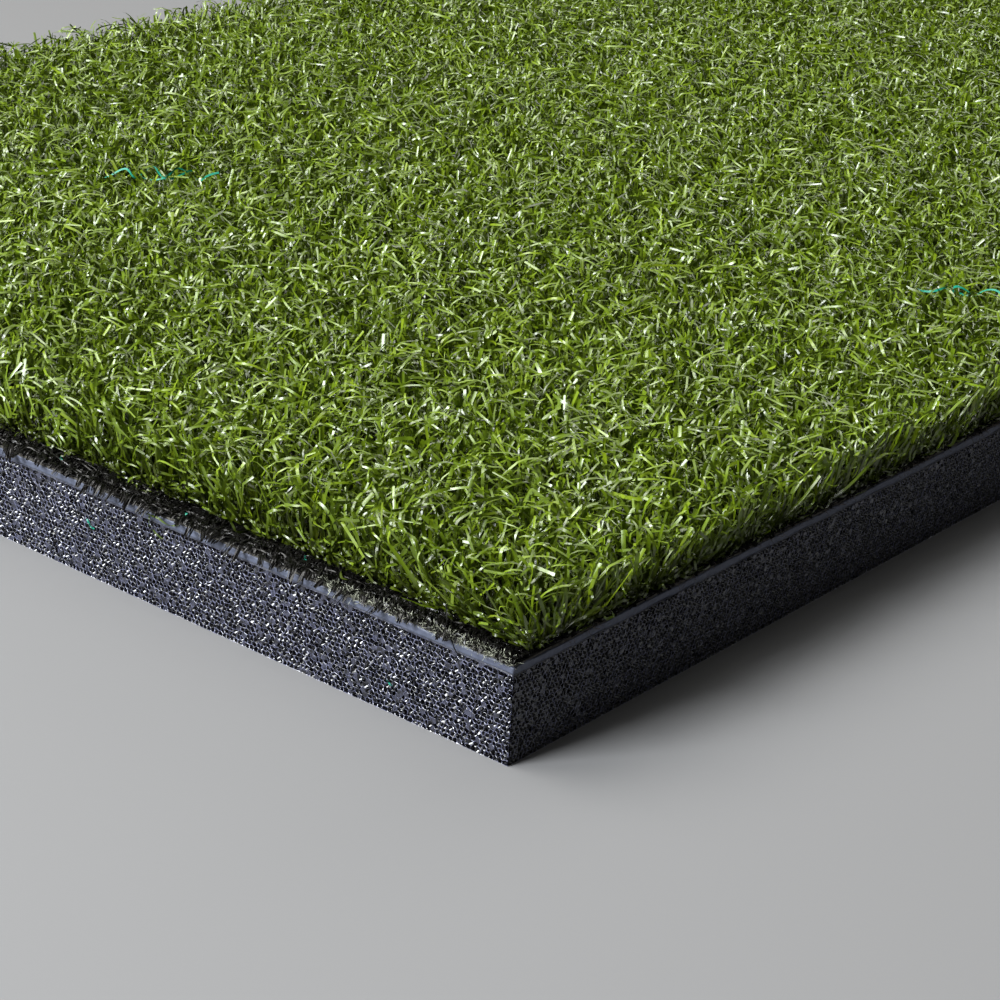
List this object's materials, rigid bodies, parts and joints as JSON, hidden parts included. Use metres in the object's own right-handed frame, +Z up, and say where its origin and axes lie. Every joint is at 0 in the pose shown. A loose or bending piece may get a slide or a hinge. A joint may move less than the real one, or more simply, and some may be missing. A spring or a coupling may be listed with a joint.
{
  "type": "golf hitting mat",
  "caption": "Rectangular golf hitting mat: curled synthetic turf on a woven backing with a grey latex coat, laminated to a thick black closed-cell foam pad.",
  "frame": {"origin": "centre of the underside, on the floor", "axes": "+X along the long side, +Y along the short side, +Z up through the pile; the end whose backing is left bare is at -X"},
  "size_m": [0.6096, 0.3048, 0.0303],
  "materials": {
    "foam": "cut closed-cell foam, charcoal, with glossy cell walls",
    "adhesive": "clear grey laminating film",
    "coat": "smooth matt blue-grey latex",
    "stitch_yarn": "ribbon yarn, soaked with latex",
    "fleece": "needled beige fleece",
    "woven_backing": "black woven tape, slightly glossy",
    "thatch": "fine curled olive ribbon yarn",
    "turf": "glossy yellow-green ribbon yarn"
  },
  "bodies": {
    "root": {"foam_pad": "foam", "laminate_adhesive": "adhesive", "latex_coat": "coat", "stitch_backs": "stitch_yarn", "fleece_layer": "fleece", "primary_backing": "woven_backing", "thatch_yarn": "thatch", "pile_yarn": "turf"}
  },
  "joints": []
}
